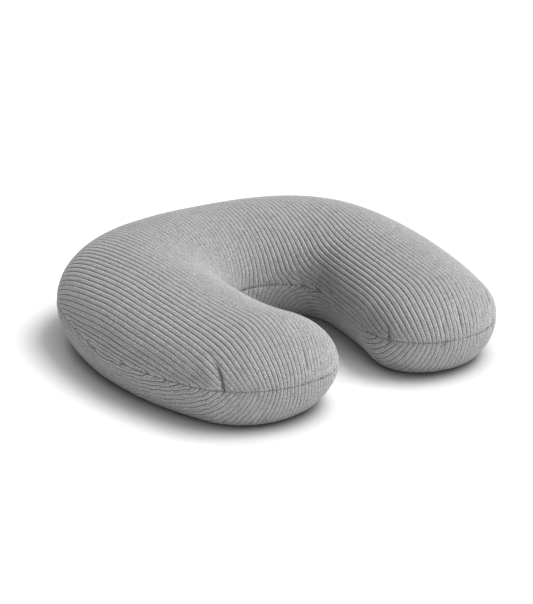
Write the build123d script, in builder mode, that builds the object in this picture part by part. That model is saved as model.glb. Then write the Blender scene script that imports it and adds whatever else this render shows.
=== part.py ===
"""Horseshoe-shaped nursing pillow: a zipped knit cover over a stuffed inner pillow.

The pillow lies on its flat underside at z = 0. Its closed back faces +Y and its
opening faces -Y. The origin is on the floor, under the middle of the bounding box.
"""

import os
from math import cos, radians, sin

from build123d import *

# ---------------------------------------------------------------- driving dimensions
# Plan outline at the seam, right half, from the middle of the back to the arm's tip.
BACK_Y = 261.0  # outer edge, middle of the back
CROTCH_Y = 50.3  # inner edge, middle of the back
OUTER_ARCS = ((1014.0, 7.0), (174.2, 71.2), (487.2, 36.5))  # radius, turn to the right
INNER_ARCS = ((85.5, 43.3), (50.8, 52.8), (541.0, 14.3))  # radius, turn to the right
ARC_STEPS = (3, 5, 4)  # lofted sections along each of the three pairs of arcs
TIP_PARTS = (0.25, 0.45, 0.62, 0.76, 0.87, 0.95)  # lofted sections round the arm's tip

# Heights above the floor where the three pairs of arcs begin and end.
WIDEST_LEVELS = (67.0, 66.0, 58.0, 55.0)
CREST_LEVELS = (151.0, 151.0, 143.5, 122.0)
TIP_LEVEL = 61.0
TIP_FULLNESS = 0.7  # power of the curve that the arm's end follows in side view
UNDERSIDE_DROP = 0.868  # depth of the uncut underside over the half width

# Seam line between the top and bottom panels, as (y, z). It is level round the back.
SEAM_POINTS = ((-300.0, 63.0), (-60.0, 52.0), (215.0, 67.0))
SEAM_START_SLOPE = -0.06
SEAM_GAP = 1.0  # height of the thread line between the panels

# Depth of each layer's face below the cover's outside: at the sides, and at the floor.
COVER_INSIDE = (2.0, 2.0)
CASING_OUTSIDE = (5.0, 2.4)
CASING_INSIDE = (5.6, 3.0)
FILLING_OUTSIDE = (6.0, 3.4)

# Zip in the back seam, on a true arc about an upright axis. Angles are in degrees from
# the middle of the back, and radial sizes are outward from the cover's outside.
ZIP_RADIUS = OUTER_ARCS[0][0]
ZIP_AXIS_Y = BACK_Y - ZIP_RADIUS
ZIP_LEVEL = SEAM_POINTS[-1][1]
SLOT_HALF_ANGLE = 6.3
SLOT_HALF_HEIGHT = 4.0
SLOT_DEPTH = 12.0  # deep enough to cut through the cover and nothing else
TAPE_HALF_ANGLE = 6.6
TAPE_FACE = ((-2.1, 0.6), (-2.35, 4.0), (-3.3, 11.0))  # radial place, height from the zip
TAPE_THICKNESS = 0.65
COIL_HALF_ANGLE = 5.9
COIL_RADIAL = (-2.1, -0.4)
COIL_HEIGHTS = (0.6, 2.6)
STOP_ANGLES = (5.95, 6.1)
STOP_HEIGHTS = (0.6, 2.8)

# Slider, in the upright plane through the zip's axis.
SLIDER_ANGLE = 5.6
SLIDER_LENGTH = 9.0
SLIDER_HALF_HEIGHT = 3.6
SLIDER_RADIAL = (-4.2, 0.9)
SLIDER_PLATE = 1.0
SLIDER_WEB_HALF = 0.35
SLIDER_FLANGE_WALL = 0.7
SLIDER_FLANGE_REACH = 1.5
SLIDER_CORNER = 1.6
BRIDGE_LENGTH = 6.4
BRIDGE_RISE = 3.1
BRIDGE_WALL = 1.2
BRIDGE_WIDTH = 2.0
BRIDGE_CORNER = 1.4

# Pull tab, measured from its pivot inside the bridge.
PIVOT_RADIAL = 1.85
PULL_THICKNESS = 1.3
PULL_LENGTH = 24.0
PULL_HEAD_LENGTH = 9.0
PULL_HEAD_HEIGHT = 4.8
PULL_GRIP_HEIGHT = 6.4
PULL_CORNER = 2.4
PULL_WINDOW = (0.3, 4.0)  # from the pivot bar to the far side of the bridge
PULL_WINDOW_HEIGHT = 2.6
PULL_HOLE = (8.0, 2.4)  # slot near the free end, length and height
PULL_HOLE_PLACE = 16.0

# Blank care label: a folded ribbon sewn into the seam at the shoulder.
LABEL_TURN = 25.0  # along the shoulder arc, from the end of the back arc
LABEL_WIDTH = 22.0
LABEL_SIDE_GAP = 0.5
LABEL_ROOT = -1.8  # in the seam
LABEL_STRAIGHT_END = 2.0
LABEL_FOLD_START = 14.0
LABEL_ROOT_HALF = 0.45
LABEL_FOLD_HALF = 1.3
LABEL_PLY = 0.35

REACH = 400.0  # larger than the pillow
UP = Vector(0, 0, 1)


# ---------------------------------------------------------------- plan outline
def direction(heading):
    """Unit vector along a heading, in degrees anticlockwise from +X."""
    return Vector(cos(radians(heading)), sin(radians(heading)))


def right_of(heading):
    """Unit vector to the right of a heading."""
    return direction(heading - 90)


def along_arc(start, heading, radius, turn):
    """End point and heading of an arc to the right, or to the left if radius < 0."""
    centre = start + right_of(heading) * radius
    new_heading = heading - turn if radius > 0 else heading + turn
    return centre - right_of(new_heading) * radius, new_heading


def outline_pairs(depth):
    """Matching points on the outer and inner edges, and the tip where they meet.

    The outline is moved in by depth. Each pair comes with its progress: 0 to 3 along
    the three pairs of arcs, and 3 to 4 round the tip.
    """
    pairs = []
    outer, outer_heading = Vector(0, BACK_Y - depth), 0.0
    inner, inner_heading = Vector(0, CROTCH_Y + depth), 0.0
    for index, steps in enumerate(ARC_STEPS):
        outer_arc = (OUTER_ARCS[index][0] - depth, OUTER_ARCS[index][1])
        inner_arc = (INNER_ARCS[index][0] + depth, INNER_ARCS[index][1])
        for step in range(steps):
            part = step / steps
            a, _ = along_arc(outer, outer_heading, outer_arc[0], outer_arc[1] * part)
            b, _ = along_arc(inner, inner_heading, inner_arc[0], inner_arc[1] * part)
            pairs.append((index + part, a, b))
        outer, outer_heading = along_arc(outer, outer_heading, *outer_arc)
        inner, inner_heading = along_arc(inner, inner_heading, *inner_arc)
    pairs.append((3.0, outer, inner))

    # The tip's two arcs meet head on, which settles both of their radii.
    outer_turn = 180 + outer_heading
    inner_turn = -inner_heading
    outer_way = right_of(outer_heading) - right_of(-180)
    inner_way = right_of(0) - right_of(inner_heading)
    gap = inner - outer
    cross = inner_way.X * outer_way.Y - inner_way.Y * outer_way.X
    outer_radius = (inner_way.X * gap.Y - inner_way.Y * gap.X) / cross
    inner_radius = (outer_way.X * gap.Y - outer_way.Y * gap.X) / cross
    for part in TIP_PARTS:
        a, _ = along_arc(outer, outer_heading, outer_radius, outer_turn * part)
        b, _ = along_arc(inner, inner_heading, -inner_radius, inner_turn * part)
        pairs.append((3 + part, a, b))
    tip, _ = along_arc(outer, outer_heading, outer_radius, outer_turn)
    return pairs, tip


def at_progress(values, progress):
    """Value between the ends of the arcs, in straight steps."""
    index = min(int(progress), len(values) - 2)
    return values[index] + (values[index + 1] - values[index]) * (progress - index)


# ---------------------------------------------------------------- pillow layers
def section(outer, inner, level, rise, drop):
    """Upright cross-section between two outline points: two half ellipses."""
    across = outer - inner
    middle = (outer + inner) * 0.5
    plane = Plane((middle.X, middle.Y, level), x_dir=across, z_dir=across.cross(UP))
    with BuildSketch(plane) as profile:
        with BuildLine():
            EllipticalCenterArc((0, 0), across.length / 2, rise, 0, arc_size=180)
            EllipticalCenterArc((0, 0), across.length / 2, drop, 180, arc_size=180)
        make_face()
    return profile.sketch


def mirrored(point):
    return Vector(-point.X, point.Y)


def pillow_body(depth, floor):
    """Whole pillow shape, moved in by depth and cut off flat at the floor height."""
    pairs, tip = outline_pairs(depth)
    _, tip_outer, tip_inner = pairs[-len(TIP_PARTS) - 1]
    tip_start = (tip_outer + tip_inner) * 0.5
    tip_way = tip - tip_start
    right_side = []
    left_side = []
    for progress, outer, inner in pairs:
        on_body = min(progress, 3.0)
        level = at_progress(WIDEST_LEVELS, on_body)
        rise = at_progress(CREST_LEVELS, on_body) - level - depth
        half_width = (outer - inner).length / 2
        gone = 0.0
        if progress > on_body:
            half_width = (tip_outer - tip_inner).length / 2
            middle = (outer + inner) * 0.5
            gone = (middle - tip_start).dot(tip_way) / tip_way.dot(tip_way)
        drop = UNDERSIDE_DROP * (half_width + depth) - depth
        taper = (1 - gone**2) ** TIP_FULLNESS
        level += (TIP_LEVEL - level) * gone
        heights = (level, rise * taper, drop * taper)
        right_side.append(section(outer, inner, *heights))
        left_side.append(section(mirrored(outer), mirrored(inner), *heights))
    with BuildPart() as body:
        loft([*reversed(left_side[1:]), *right_side])
        split(bisect_by=Plane.XY.offset(floor), keep=Keep.TOP)
    return body.part


def skin_between(outside, inside):
    """Thin closed skin between two layers."""
    with BuildPart() as skin:
        add(pillow_body(*outside))
        add(pillow_body(*inside), mode=Mode.SUBTRACT)
    return skin.part


def seam_block(low, high):
    """Block between two heights from the seam line, longer and wider than the pillow."""
    level_y, level_z = SEAM_POINTS[-1]
    edges = []
    with BuildPart() as block:
        with BuildSketch(Plane.YZ):
            with BuildLine():
                for lift in (low, high):
                    points = [(y, z + lift) for y, z in SEAM_POINTS]
                    curve = Spline(points, tangents=((1, SEAM_START_SLOPE), (1, 0)))
                    flat = Line((level_y, level_z + lift), (REACH, level_z + lift))
                    edges.append((curve @ 0, flat @ 1))
                Line(edges[0][0], edges[1][0])
                Line(edges[0][1], edges[1][1])
            make_face()
        extrude(amount=REACH, both=True)
    return block.part


# ---------------------------------------------------------------- zip helpers
def zip_plane(angle):
    """Upright plane through the zip's axis: x outward from the cover, y up."""
    outward = direction(90 + angle)
    place = Vector(0, ZIP_AXIS_Y, ZIP_LEVEL) + outward * ZIP_RADIUS
    return Plane(place, x_dir=outward, z_dir=outward.cross(UP))


def swept_along_zip(points, start_angle, end_angle):
    """Solid swept along the zip's arc from a closed outline in its upright plane."""
    with BuildPart() as bar:
        with BuildSketch(zip_plane(start_angle)):
            with BuildLine():
                Polyline(*points, close=True)
            make_face()
        revolve(
            axis=Axis((0, ZIP_AXIS_Y, 0), (0, 0, 1)),
            revolution_arc=end_angle - start_angle,
        )
    return bar.part


def bar_along_zip(radial, heights, start_angle, end_angle):
    """Bar of rectangular section, from (low, high) pairs of radial place and height."""
    (inside, outside), (low, high) = radial, heights
    points = ((inside, low), (outside, low), (outside, high), (inside, high))
    return swept_along_zip(points, start_angle, end_angle)


def both_sides(pair):
    """Range of the same size on the other side of the zip's level."""
    return (-pair[1], -pair[0])


def tape_outline(side):
    """Closed outline of the upper tape (side 1) or the lower tape (side -1)."""
    outer_face = [(radial, height * side) for radial, height in TAPE_FACE]
    inner_face = [(radial - TAPE_THICKNESS, height) for radial, height in outer_face]
    return [*outer_face, *reversed(inner_face)]


def rectangle_between(x_range, y_range, mode=Mode.ADD):
    """Rectangle in the current sketch, from its (low, high) pairs."""
    with Locations((sum(x_range) / 2, sum(y_range) / 2)):
        Rectangle(x_range[1] - x_range[0], y_range[1] - y_range[0], mode=mode)


def finish(builder, name):
    """Label a finished piece and write its STEP file."""
    builder.part.label = name
    export_step(builder.part, f"parts/{name}.step")


os.makedirs("parts", exist_ok=True)

# ---------------------------------------------------------------- cover panels
cover_skin = skin_between((0.0, 0.0), COVER_INSIDE)
casing_skin = skin_between(CASING_OUTSIDE, CASING_INSIDE)
above_seam = seam_block(SEAM_GAP / 2, REACH)
below_seam = seam_block(-REACH, -SEAM_GAP / 2)
in_seam = seam_block(-SEAM_GAP / 2, SEAM_GAP / 2)
zip_slot = bar_along_zip(
    (-SLOT_DEPTH, SLOT_DEPTH),
    (-SLOT_HALF_HEIGHT, SLOT_HALF_HEIGHT),
    -SLOT_HALF_ANGLE,
    SLOT_HALF_ANGLE,
)

with BuildPart() as cover_top_panel:
    add(cover_skin)
    add(above_seam, mode=Mode.INTERSECT)
    add(zip_slot, mode=Mode.SUBTRACT)
finish(cover_top_panel, "cover_top_panel")

with BuildPart() as cover_bottom_panel:
    add(cover_skin)
    add(below_seam, mode=Mode.INTERSECT)
    add(zip_slot, mode=Mode.SUBTRACT)
finish(cover_bottom_panel, "cover_bottom_panel")

# ---------------------------------------------------------------- care label
back_end, back_heading = along_arc(Vector(0, BACK_Y), 0.0, *OUTER_ARCS[0])
label_place, label_heading = along_arc(
    back_end, back_heading, OUTER_ARCS[1][0], LABEL_TURN
)
label_outward = direction(label_heading + 90)
label_plane = Plane(
    (label_place.X, label_place.Y, ZIP_LEVEL),
    x_dir=label_outward,
    z_dir=label_outward.cross(UP),
)


def label_fold(root_half, fold_half):
    """Solid inside one face of the folded ribbon."""
    with BuildPart() as fold:
        with BuildSketch(label_plane):
            with BuildLine():
                lower = Polyline(
                    (LABEL_ROOT, -root_half),
                    (LABEL_STRAIGHT_END, -root_half),
                    (LABEL_FOLD_START, -fold_half),
                )
                upper = Polyline(
                    (LABEL_FOLD_START, fold_half),
                    (LABEL_STRAIGHT_END, root_half),
                    (LABEL_ROOT, root_half),
                )
                ThreePointArc(lower @ 1, (LABEL_FOLD_START + fold_half, 0), upper @ 0)
                Line(upper @ 1, lower @ 0)
            make_face()
        extrude(amount=LABEL_WIDTH / 2, both=True)
    return fold.part


with BuildPart() as care_label:
    add(label_fold(LABEL_ROOT_HALF, LABEL_FOLD_HALF))
    inner_half = (LABEL_ROOT_HALF - LABEL_PLY, LABEL_FOLD_HALF - LABEL_PLY)
    add(label_fold(*inner_half), mode=Mode.SUBTRACT)
finish(care_label, "care_label")

# ---------------------------------------------------------------- cover's seam thread
# The thread line stops at the zip, and at each side of the label sewn into the seam.
with BuildPart() as label_gap:
    with BuildSketch(label_plane):
        Rectangle(2 * SLOT_DEPTH, 2 * SEAM_GAP)
    extrude(amount=LABEL_WIDTH / 2 + LABEL_SIDE_GAP, both=True)

with BuildPart() as cover_seam_thread:
    add(cover_skin)
    add(in_seam, mode=Mode.INTERSECT)
    add(zip_slot, mode=Mode.SUBTRACT)
    add(label_gap.part, mode=Mode.SUBTRACT)
finish(cover_seam_thread, "cover_seam_thread")

# ---------------------------------------------------------------- inner pillow
with BuildPart() as insert_top_panel:
    add(casing_skin)
    add(above_seam, mode=Mode.INTERSECT)
finish(insert_top_panel, "insert_top_panel")

with BuildPart() as insert_bottom_panel:
    add(casing_skin)
    add(below_seam, mode=Mode.INTERSECT)
finish(insert_bottom_panel, "insert_bottom_panel")

with BuildPart() as insert_seam_thread:
    add(casing_skin)
    add(in_seam, mode=Mode.INTERSECT)
finish(insert_seam_thread, "insert_seam_thread")

with BuildPart() as filling:
    add(pillow_body(*FILLING_OUTSIDE))
finish(filling, "filling")

# ---------------------------------------------------------------- zip tapes and coils
with BuildPart() as zip_tape_upper:
    add(swept_along_zip(tape_outline(1), -TAPE_HALF_ANGLE, TAPE_HALF_ANGLE))
finish(zip_tape_upper, "zip_tape_upper")

with BuildPart() as zip_tape_lower:
    add(swept_along_zip(tape_outline(-1), -TAPE_HALF_ANGLE, TAPE_HALF_ANGLE))
finish(zip_tape_lower, "zip_tape_lower")

with BuildPart() as zip_coil_upper:
    add(bar_along_zip(COIL_RADIAL, COIL_HEIGHTS, -COIL_HALF_ANGLE, COIL_HALF_ANGLE))
finish(zip_coil_upper, "zip_coil_upper")

with BuildPart() as zip_coil_lower:
    low_side = both_sides(COIL_HEIGHTS)
    add(bar_along_zip(COIL_RADIAL, low_side, -COIL_HALF_ANGLE, COIL_HALF_ANGLE))
finish(zip_coil_lower, "zip_coil_lower")

with BuildPart() as zip_top_stops:
    add(bar_along_zip(COIL_RADIAL, STOP_HEIGHTS, *STOP_ANGLES))
    add(bar_along_zip(COIL_RADIAL, both_sides(STOP_HEIGHTS), *STOP_ANGLES))
finish(zip_top_stops, "zip_top_stops")

with BuildPart() as zip_bottom_stop:
    across = (-STOP_HEIGHTS[1], STOP_HEIGHTS[1])
    add(bar_along_zip(COIL_RADIAL, across, *both_sides(STOP_ANGLES)))
finish(zip_bottom_stop, "zip_bottom_stop")

# ---------------------------------------------------------------- slider
slider_plane = zip_plane(SLIDER_ANGLE)
slider_outward = slider_plane.x_dir
slider_along = slider_plane.z_dir
channel_radial = (SLIDER_RADIAL[0] + SLIDER_PLATE, SLIDER_RADIAL[1] - SLIDER_PLATE)
flange_start = SLIDER_HALF_HEIGHT - SLIDER_FLANGE_WALL
channel_heights = (SLIDER_WEB_HALF, flange_start)
slit_radial = (channel_radial[0], channel_radial[1] - SLIDER_FLANGE_REACH)
slit_heights = (flange_start, SLIDER_HALF_HEIGHT)
bridge_top = SLIDER_RADIAL[1] + BRIDGE_RISE
bridge_side = Plane(slider_plane.origin, x_dir=slider_along, z_dir=UP)

with BuildPart() as zip_slider:
    with BuildSketch(slider_plane):
        rectangle_between(SLIDER_RADIAL, (-SLIDER_HALF_HEIGHT, SLIDER_HALF_HEIGHT))
        for heights in (channel_heights, both_sides(channel_heights)):
            rectangle_between(channel_radial, heights, Mode.SUBTRACT)
        for heights in (slit_heights, both_sides(slit_heights)):
            rectangle_between(slit_radial, heights, Mode.SUBTRACT)
    extrude(amount=SLIDER_LENGTH / 2, both=True)
    radial_edges = zip_slider.edges().filter_by(Axis(slider_plane.origin, slider_outward))
    corners = [
        edge
        for edge in radial_edges
        if abs(abs(slider_plane.to_local_coords(edge.center()).Y) - SLIDER_HALF_HEIGHT) < 0.01
    ]
    fillet(corners, SLIDER_CORNER)
    with BuildSketch(bridge_side) as bridge_profile:
        rectangle_between(
            (-BRIDGE_LENGTH / 2, BRIDGE_LENGTH / 2),
            (SLIDER_RADIAL[1] - SLIDER_PLATE / 2, bridge_top),
        )
        top_corners = bridge_profile.vertices().sort_by(Axis(bridge_side.origin, slider_outward))
        fillet(top_corners[-2:], BRIDGE_CORNER)
        rectangle_between(
            (-BRIDGE_LENGTH / 2 + BRIDGE_WALL, BRIDGE_LENGTH / 2 - BRIDGE_WALL),
            (SLIDER_RADIAL[1], bridge_top - BRIDGE_WALL),
            Mode.SUBTRACT,
        )
    extrude(amount=BRIDGE_WIDTH / 2, both=True)
finish(zip_slider, "zip_slider")

# ---------------------------------------------------------------- pull tab
pivot = slider_plane.origin + slider_outward * PIVOT_RADIAL
pull_side = Plane(pivot, x_dir=slider_along, z_dir=UP)
pull_face = Plane(pivot, x_dir=slider_along, z_dir=-slider_outward)
head_start = -PULL_THICKNESS / 2

with BuildPart() as zip_pull_tab:
    with BuildSketch(pull_side):
        with BuildLine():
            bar_end = ThreePointArc(
                (0, PULL_THICKNESS / 2), (head_start, 0), (0, -PULL_THICKNESS / 2)
            )
            far_end = ThreePointArc(
                (PULL_LENGTH, -PULL_THICKNESS / 2),
                (PULL_LENGTH + PULL_THICKNESS / 2, 0),
                (PULL_LENGTH, PULL_THICKNESS / 2),
            )
            Line(bar_end @ 1, far_end @ 0)
            Line(far_end @ 1, bar_end @ 0)
        make_face()
    extrude(amount=PULL_GRIP_HEIGHT / 2, both=True)
    with BuildSketch(pull_face):
        rectangle_between(
            (head_start, PULL_HEAD_LENGTH),
            (-PULL_HEAD_HEIGHT / 2, PULL_HEAD_HEIGHT / 2),
        )
        grip_length = PULL_LENGTH - PULL_HEAD_LENGTH + PULL_CORNER
        with Locations((PULL_LENGTH + PULL_THICKNESS / 2 - grip_length / 2, 0)):
            RectangleRounded(grip_length, PULL_GRIP_HEIGHT, PULL_CORNER)
        rectangle_between(
            PULL_WINDOW, (-PULL_WINDOW_HEIGHT / 2, PULL_WINDOW_HEIGHT / 2), Mode.SUBTRACT
        )
        with Locations((PULL_HOLE_PLACE, 0)):
            SlotOverall(*PULL_HOLE, mode=Mode.SUBTRACT)
    extrude(amount=PULL_THICKNESS, both=True, mode=Mode.INTERSECT)
finish(zip_pull_tab, "zip_pull_tab")
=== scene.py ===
"""Nursing pillow in wide rib knit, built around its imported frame.

The cover starts as a grid of rows along the horseshoe and rings round it. Cloth
simulation plumps the grid, a flattening finds where each point lies on the flat
fabric, and a fine mesh is cut along the fabric's ribs, so every rib is geometry.
"""

from math import cos, pi, radians, sin

import bpy
import numpy as np
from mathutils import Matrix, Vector
from mathutils.bvhtree import BVHTree


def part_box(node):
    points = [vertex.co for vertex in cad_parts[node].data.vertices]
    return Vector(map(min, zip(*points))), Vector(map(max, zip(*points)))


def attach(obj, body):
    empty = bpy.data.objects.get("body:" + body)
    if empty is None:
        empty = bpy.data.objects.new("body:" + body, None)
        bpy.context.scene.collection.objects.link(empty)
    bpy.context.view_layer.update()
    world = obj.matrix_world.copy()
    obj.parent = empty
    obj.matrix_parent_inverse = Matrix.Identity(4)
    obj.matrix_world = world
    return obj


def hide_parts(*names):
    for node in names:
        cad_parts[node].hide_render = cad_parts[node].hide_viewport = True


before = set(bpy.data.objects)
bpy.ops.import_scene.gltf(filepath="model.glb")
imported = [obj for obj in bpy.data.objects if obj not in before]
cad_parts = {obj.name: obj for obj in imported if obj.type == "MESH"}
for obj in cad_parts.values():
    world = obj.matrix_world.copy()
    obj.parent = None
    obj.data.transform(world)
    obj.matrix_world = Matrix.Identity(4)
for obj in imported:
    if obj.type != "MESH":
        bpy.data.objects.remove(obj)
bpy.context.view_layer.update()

# -------- driving dimensions
# Plan outline at the seam, right half. Each arc is (radius, degrees turned right).
BACK_Y = 0.261
CROTCH_Y = 0.0503
OUTER_ARCS = ((1.014, 7.0), (0.1742, 71.2), (0.4872, 36.5))
INNER_ARCS = ((0.0855, 43.3), (0.0508, 52.8), (0.541, 14.3))
ROWS = (14, 18, 32, 24)  # grid rows along the three pairs of arcs and round the tip
MIDDLE = sum(ROWS)  # the grid row in the middle of the back
RING = 64  # grid points round the pillow: half above the seam, half below
INNER_SEAM = RING // 2  # the ring place of the inner seam. The outer seam's is 0

# Heights along the arm, at the ends of the arcs.
CREST_LEVELS = (0.151, 0.151, 0.1435, 0.122)
WIDEST_LEVELS = (0.067, 0.066, 0.058, 0.055)
TIP_LEVEL = 0.061
TIP_FULLNESS = 0.7
UNDERSIDE_DROP = 0.868
SEAM_POINTS = ((-0.3, 0.063), (-0.06, 0.052), (0.215, 0.067))  # y, height
FLOOR_ROUNDING = 0.006
LEAST_REACH = 0.012  # these two limit the seam's angle at the thin tips
MOST_SEAM_SHARE = 0.3

# Knit cover.
RIB_PITCH = 0.0069
RIB_DEPTH = 0.0019
RIB_FULLNESS = 4.8  # higher is flatter on top
RIB_SAMPLES = (0.0, 0.06, 0.15, 0.3, 0.5, 0.7, 0.85, 0.94)  # mesh lines across a rib
RIB_AT_SEAM = 0.25  # share of the ribs' depth left at the seam
RIB_FADE = (0.0003, 0.0035)  # from the seam, where it grows back
UNDERSIDE_LEVEL = 0.002
UNDERSIDE_RIBS = 0.5  # share of the depth that the weight takes away
LOWEST_LEVEL = 0.0004
FABRIC_STEP = 0.0046  # mesh spacing along a rib
SEAM_PINCH = 0.001
SEAM_REACH = 0.004

# Zip in the back seam.
ZIP_RADIUS = OUTER_ARCS[0][0]
ZIP_AXIS_Y = BACK_Y - ZIP_RADIUS
ZIP_LEVEL = 0.067
SLOT_HALF_ANGLE = 6.3
SLOT_HALF_HEIGHT = 0.004
SLOT_HALF_LENGTH = ZIP_RADIUS * sin(radians(SLOT_HALF_ANGLE))
BESIDE_SLOT = SLOT_HALF_LENGTH + 0.012  # where the zip's effect on the cloth ends
BESIDE_LEVELS = (0.02, 0.035)  # heights from the zip, where it fades
BACK_FROM = 0.2  # y from which a point is at the pillow's back


# -------- small helpers
SQUARE = ((0, 0), (0, 1), (1, 1), (1, 0))  # steps to a grid cell's corners


def unit(vectors):
    """Vectors brought to length 1."""
    length = np.linalg.norm(vectors, axis=-1, keepdims=True)
    return vectors / np.maximum(length, 1e-15)


def flat_cross(a, b):
    """Twice the signed area between each pair of flat vectors."""
    return a[:, 0] * b[:, 1] - a[:, 1] * b[:, 0]


def linked(name, data):
    """New object in the scene."""
    piece = bpy.data.objects.new(name, data)
    bpy.context.scene.collection.objects.link(piece)
    return piece


def new_object(name, points, faces, smooth=False):
    """Mesh object of the given points and faces."""
    mesh = bpy.data.meshes.new(name)
    mesh.from_pydata([tuple(p) for p in points], [], faces)
    if smooth:
        mesh.polygons.foreach_set("use_smooth", [True] * len(faces))
    mesh.update()
    return linked(name, mesh)


# -------- the pillow's grid
def right_of(heading):
    """Unit vectors to the right of headings, in degrees anticlockwise from +X."""
    angle = np.radians(heading)
    return np.stack([np.sin(angle), -np.cos(angle)], -1)


def along_arc(start, heading, radius, turn):
    """Points and headings along an arc to the right, or to the left if radius < 0."""
    centre = start + right_of(heading) * radius
    headings = heading - np.sign(radius) * turn
    return centre - right_of(headings) * radius, headings


def smooth_between(values, progress):
    """Smooth curve through values at 0, 1, 2 and so on, level at both ends."""
    values = np.asarray(values, float)
    slopes = np.zeros(len(values))
    slopes[1:-1] = (values[2:] - values[:-2]) / 2
    index = np.clip(progress.astype(int), 0, len(values) - 2)
    f = progress - index
    low, high = values[index], values[index + 1]
    low_slope, high_slope = slopes[index], slopes[index + 1]
    return (
        low * (1 + 2 * f) * (1 - f) ** 2
        + high * f**2 * (3 - 2 * f)
        + low_slope * f * (1 - f) ** 2
        - high_slope * f**2 * (1 - f)
    )


def seam_height(y):
    """Height of the seam between the panels: lowest along the arms."""
    (front_y, front_z), (low_y, low_z), (back_y, back_z) = SEAM_POINTS
    back = np.clip((y - low_y) / (back_y - low_y), 0, 1)
    front = np.clip((low_y - y) / (low_y - front_y), 0, 1)
    rise = (back_z - low_z) * back**2 * (3 - 2 * back)
    return low_z + rise + (front_z - low_z) * front**1.6


def arm_side(start_y, arcs):
    """Lists of points along one side's arcs, then where they end and the heading."""
    place, heading, points = np.array([0, start_y]), 0.0, []
    for (radius, turn), count in zip(arcs, ROWS):
        part = np.arange(count) / count
        points.append(along_arc(place, heading, radius, turn * part)[0])
        place, heading = along_arc(place, heading, radius, turn)
    return points, place, heading


def half_outline():
    """Matching outer and inner points from the middle of the back to the arm's tip."""
    outers, outer, outer_heading = arm_side(BACK_Y, OUTER_ARCS)
    inners, inner, inner_heading = arm_side(CROTCH_Y, INNER_ARCS)
    progress = [index + np.arange(ROWS[index]) / ROWS[index] for index in range(3)]

    # The tip's two arcs meet head on, which settles both of their radii.
    outer_way = right_of(outer_heading) - right_of(-180)
    inner_way = right_of(0) - right_of(inner_heading)
    outer_radius, inner_radius = np.linalg.solve(
        np.stack([outer_way, -inner_way], 1), inner - outer
    )
    part = np.arange(ROWS[3] + 1) / ROWS[3]
    outer_turn = (180 + outer_heading) * part
    outers.append(along_arc(outer, outer_heading, outer_radius, outer_turn)[0])
    inner_turn = -inner_heading * part
    inners.append(along_arc(inner, inner_heading, -inner_radius, inner_turn)[0])
    progress.append(3 + part)
    return [np.concatenate(part) for part in (outers, inners, progress)]


def seam_angle(above_widest, rise, drop):
    """Angle of the seam round the section, from the widest line."""
    reach = np.where(above_widest > 0, rise, drop)
    share = above_widest / np.maximum(reach, LEAST_REACH)
    return np.arcsin(np.clip(share, -MOST_SEAM_SHARE, MOST_SEAM_SHARE))


def pillow_grid():
    """Grid of points, rows by ring, from the left tip to the right tip."""
    outer, inner, progress = half_outline()
    start = sum(ROWS[:3])
    middle = (outer + inner) / 2
    half_width = np.linalg.norm(outer - inner, axis=1) / 2
    tip_way = middle[-1] - middle[start]
    gone = np.clip((middle - middle[start]) @ tip_way / (tip_way @ tip_way), 0, 1)
    gone[:start] = 0
    taper = (1 - gone**2) ** TIP_FULLNESS
    on_body = np.minimum(progress, 3.0)
    level = smooth_between(WIDEST_LEVELS, on_body)
    rise = (smooth_between(CREST_LEVELS, on_body) - level) * taper
    level += (TIP_LEVEL - level) * gone
    reach = np.where(progress > 3, half_width[start], half_width)
    drop = UNDERSIDE_DROP * reach * taper

    # The seam runs a little above or below the widest line, so it isn't at angle 0.
    outer_angle = seam_angle(seam_height(outer[:, 1]) - level, rise, drop)
    inner_angle = seam_angle(seam_height(inner[:, 1]) - level, rise, drop)
    part = np.arange(INNER_SEAM) / INNER_SEAM
    over = pi - inner_angle - outer_angle
    under = 2 * pi - over
    top = outer_angle[:, None] + over[:, None] * part
    bottom = (pi - inner_angle)[:, None] + under[:, None] * part
    angle = np.concatenate([top, bottom], 1)
    across, up = np.cos(angle)[..., None], np.sin(angle)
    plan = middle[:, None] + across * (outer - inner)[:, None] / 2
    height = level[:, None] + np.where(up > 0, rise[:, None], drop[:, None]) * up
    height = np.hypot(height / 2, FLOOR_ROUNDING / 2) + height / 2  # rests on the floor
    right = np.concatenate([plan, height[..., None]], -1)
    left = right[:0:-1] * (-1, 1, 1)
    return np.concatenate([left, right])


def cubic_weights(f):
    """Weights of four neighbours for a smooth curve through the middle two."""
    return (
        -0.5 * f + f**2 - 0.5 * f**3,
        1 - 2.5 * f**2 + 1.5 * f**3,
        0.5 * f + 2 * f**2 - 1.5 * f**3,
        -0.5 * f**2 + 0.5 * f**3,
    )


def sample(grid, rows, ring):
    """Smooth values of a grid at fractional rows and ring places."""
    before, after = 2 * grid[:1] - grid[1:2], 2 * grid[-1:] - grid[-2:-1]
    padded = np.concatenate([before, grid, after])
    rows = np.clip(rows, 0, len(grid) - 1)
    row = np.minimum(rows.astype(int), len(grid) - 2)
    place = np.floor(ring).astype(int)
    row_weights = cubic_weights(rows - row)
    ring_weights = cubic_weights(ring - place)
    total = 0
    for i in range(4):
        for j in range(4):
            weight = (row_weights[i] * ring_weights[j])[:, None]
            total = total + weight * padded[row + i, (place + j - 1) % grid.shape[1]]
    return total


def on_seam(grid, rows, ring):
    """Points of the outer seam, ring 0, or of the inner one, at fractional rows."""
    return sample(grid, rows, np.full_like(rows, ring))


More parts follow.
